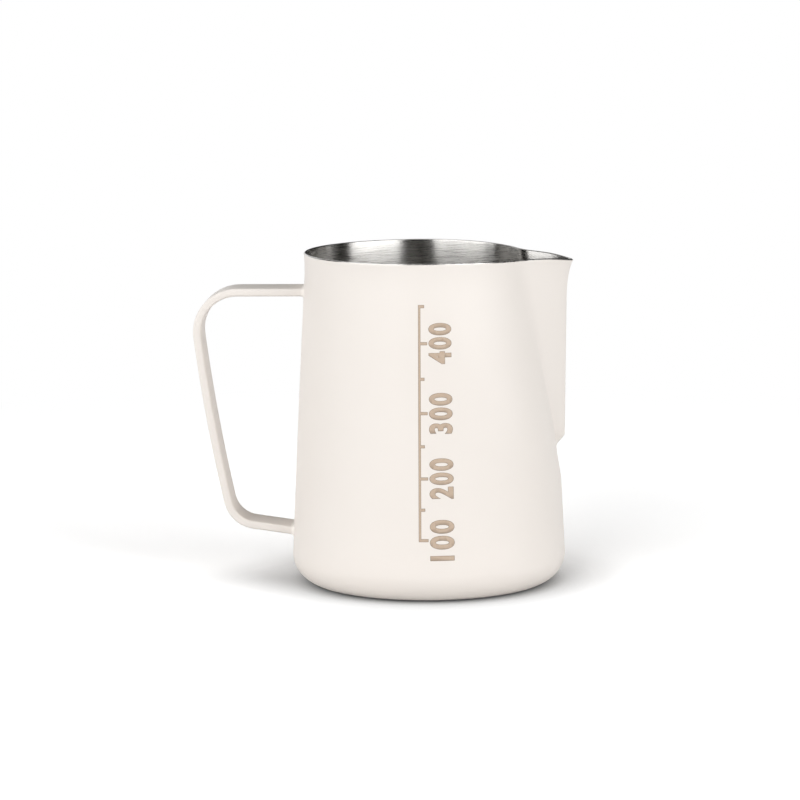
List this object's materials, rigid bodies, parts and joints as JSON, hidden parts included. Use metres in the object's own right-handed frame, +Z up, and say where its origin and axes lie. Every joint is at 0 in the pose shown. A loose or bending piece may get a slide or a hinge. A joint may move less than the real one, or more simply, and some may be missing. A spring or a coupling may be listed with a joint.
{
  "type": "milk frothing pitcher",
  "caption": "Coated steel milk frothing pitcher with a tapered round cup, a pressed pouring spout and a bent flat-bar handle.",
  "frame": {"origin": "middle of the foot ring that the pitcher stands on, on the cup's axis", "axes": "+X towards the spout, -X towards the handle, +Z up along the cup's axis"},
  "size_m": [0.1189, 0.086, 0.1042],
  "materials": {
    "brushed_steel": "circumferentially brushed stainless steel",
    "powder_coat": "satin off-white powder coat",
    "laser_mark": "matte tan laser-etched marking"
  },
  "bodies": {
    "root": {"body": "brushed_steel", "body_coat": "powder_coat", "handle": "powder_coat", "upper_weld": "powder_coat", "lower_weld": "powder_coat"}
  },
  "joints": []
}
